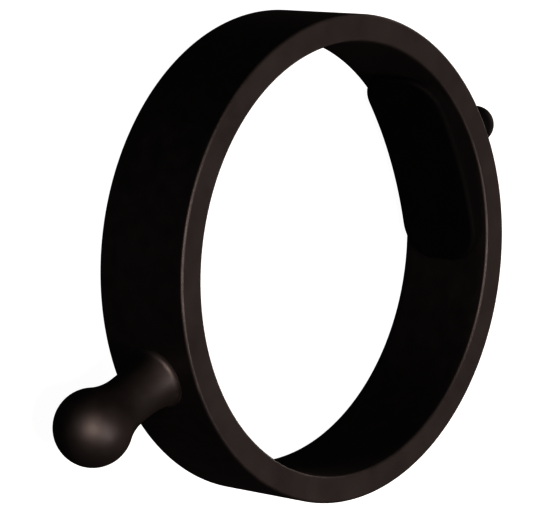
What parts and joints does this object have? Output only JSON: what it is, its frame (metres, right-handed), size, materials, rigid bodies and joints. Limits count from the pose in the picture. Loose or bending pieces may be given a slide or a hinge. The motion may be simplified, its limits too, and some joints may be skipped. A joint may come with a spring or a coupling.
{
  "type": "fence insulator",
  "caption": "Insulating collar for a round post: a band with a ball-ended wire knob outside and a rubber grip pad inside, held by a small ball-ended stud.",
  "frame": {"origin": "on the bore's axis, half way up the band", "axes": "+Z along the bore's axis, as an upright post runs; +X out through the wire knob; the grip pad and its stud are on the -X side"},
  "size_m": [0.0697, 0.05, 0.0112],
  "materials": {
    "band_plastic": "fine satin moulded polyamide, black with a warm brown cast",
    "knob_plastic": "satin moulded polyamide, black with a warm brown cast",
    "stud_plastic": "dull moulded polyamide, deep black",
    "screw_nylon": "satin black nylon",
    "pad_rubber": "matte black rubber with a faint grain"
  },
  "bodies": {
    "root": {"post_band": "band_plastic", "wire_knob": "knob_plastic", "knob_screw": "screw_nylon", "pad_stud": "stud_plastic", "grip_pad": "pad_rubber"}
  },
  "joints": []
}
